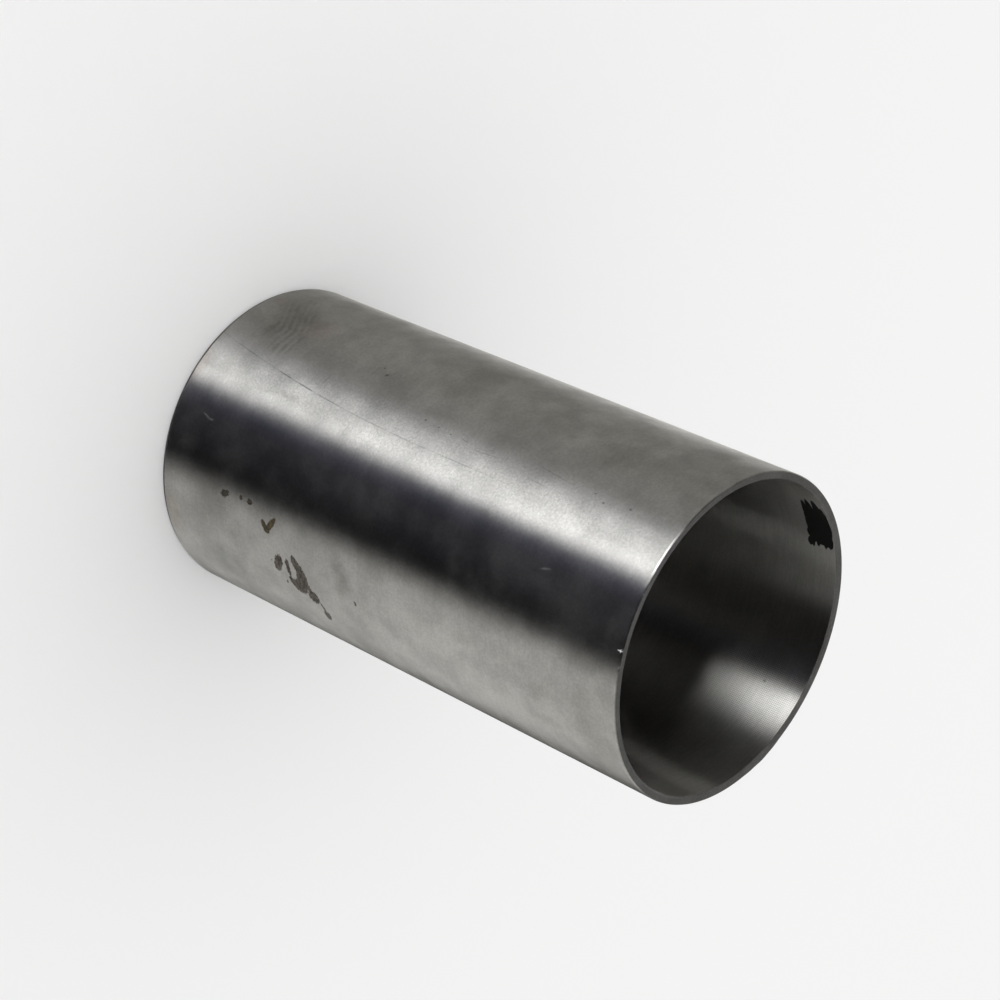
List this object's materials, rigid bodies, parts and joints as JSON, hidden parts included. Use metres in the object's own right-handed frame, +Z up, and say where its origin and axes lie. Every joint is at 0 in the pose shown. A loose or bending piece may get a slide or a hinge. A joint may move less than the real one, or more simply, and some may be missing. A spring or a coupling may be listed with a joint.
{
  "type": "cylinder liner",
  "caption": "Plain thin-walled dry cylinder liner, ground outside and honed inside, with a lead-in taper at its lower end and chamfered bore mouths.",
  "frame": {"origin": "centre of the lower end face, where the bore axis meets it; the liner stands on that face", "axes": "+Z up along the bore axis, from the tapered lower end to the upper end; the liner is round, so X and Y are free, and the picture's view is from the -X, +Y side above"},
  "size_m": [0.0952, 0.0952, 0.181],
  "materials": {
    "cast_iron": "ground outside and honed bore, bare metal with light tarnish and a few rust stains"
  },
  "bodies": {
    "root": {"cylinder_liner": "cast_iron"}
  },
  "joints": []
}
